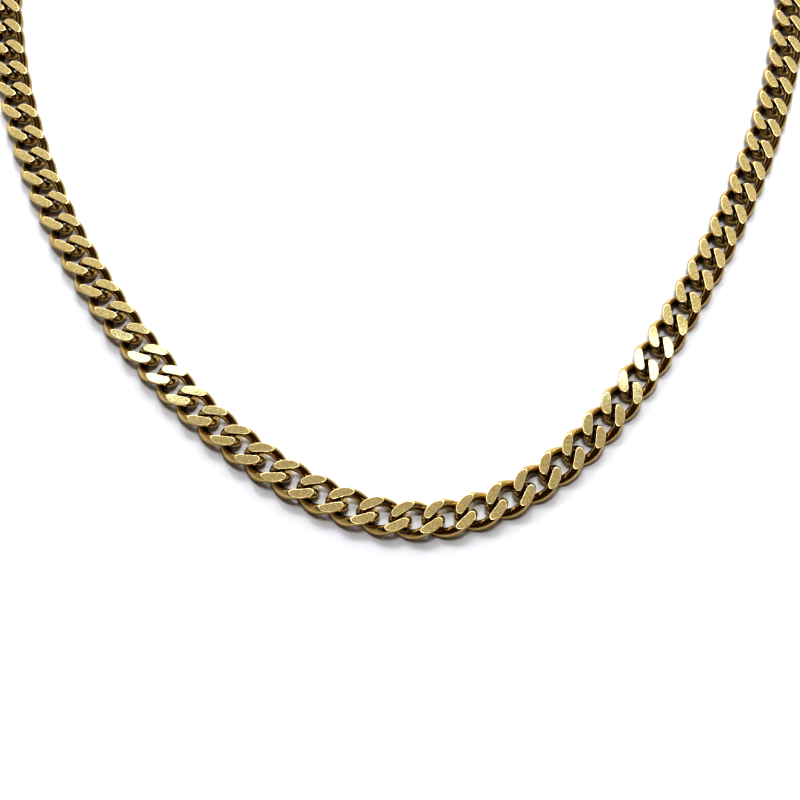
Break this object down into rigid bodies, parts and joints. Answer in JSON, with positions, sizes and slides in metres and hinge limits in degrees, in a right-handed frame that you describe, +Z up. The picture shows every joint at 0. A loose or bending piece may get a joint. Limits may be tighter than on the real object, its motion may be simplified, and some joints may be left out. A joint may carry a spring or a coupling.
{
  "type": "curb chain necklace",
  "caption": "Closed necklace of filed, twisted curb links in yellow gold with a plain bar clasp, lying flat in a pear-shaped loop.",
  "frame": {"origin": "middle of the necklace's box, on the surface that it lies on", "axes": "+X to the right as the picture shows the chain, +Y from the front of the loop to the clasp, +Z up off the surface"},
  "size_m": [0.1292, 0.1723, 0.002],
  "materials": {
    "chain_gold": "polished wire, satin filed facets",
    "clasp_gold": "brushed"
  },
  "bodies": {
    "root": {"chain_left": "chain_gold", "chain_right": "chain_gold", "clasp": "clasp_gold"}
  },
  "joints": []
}
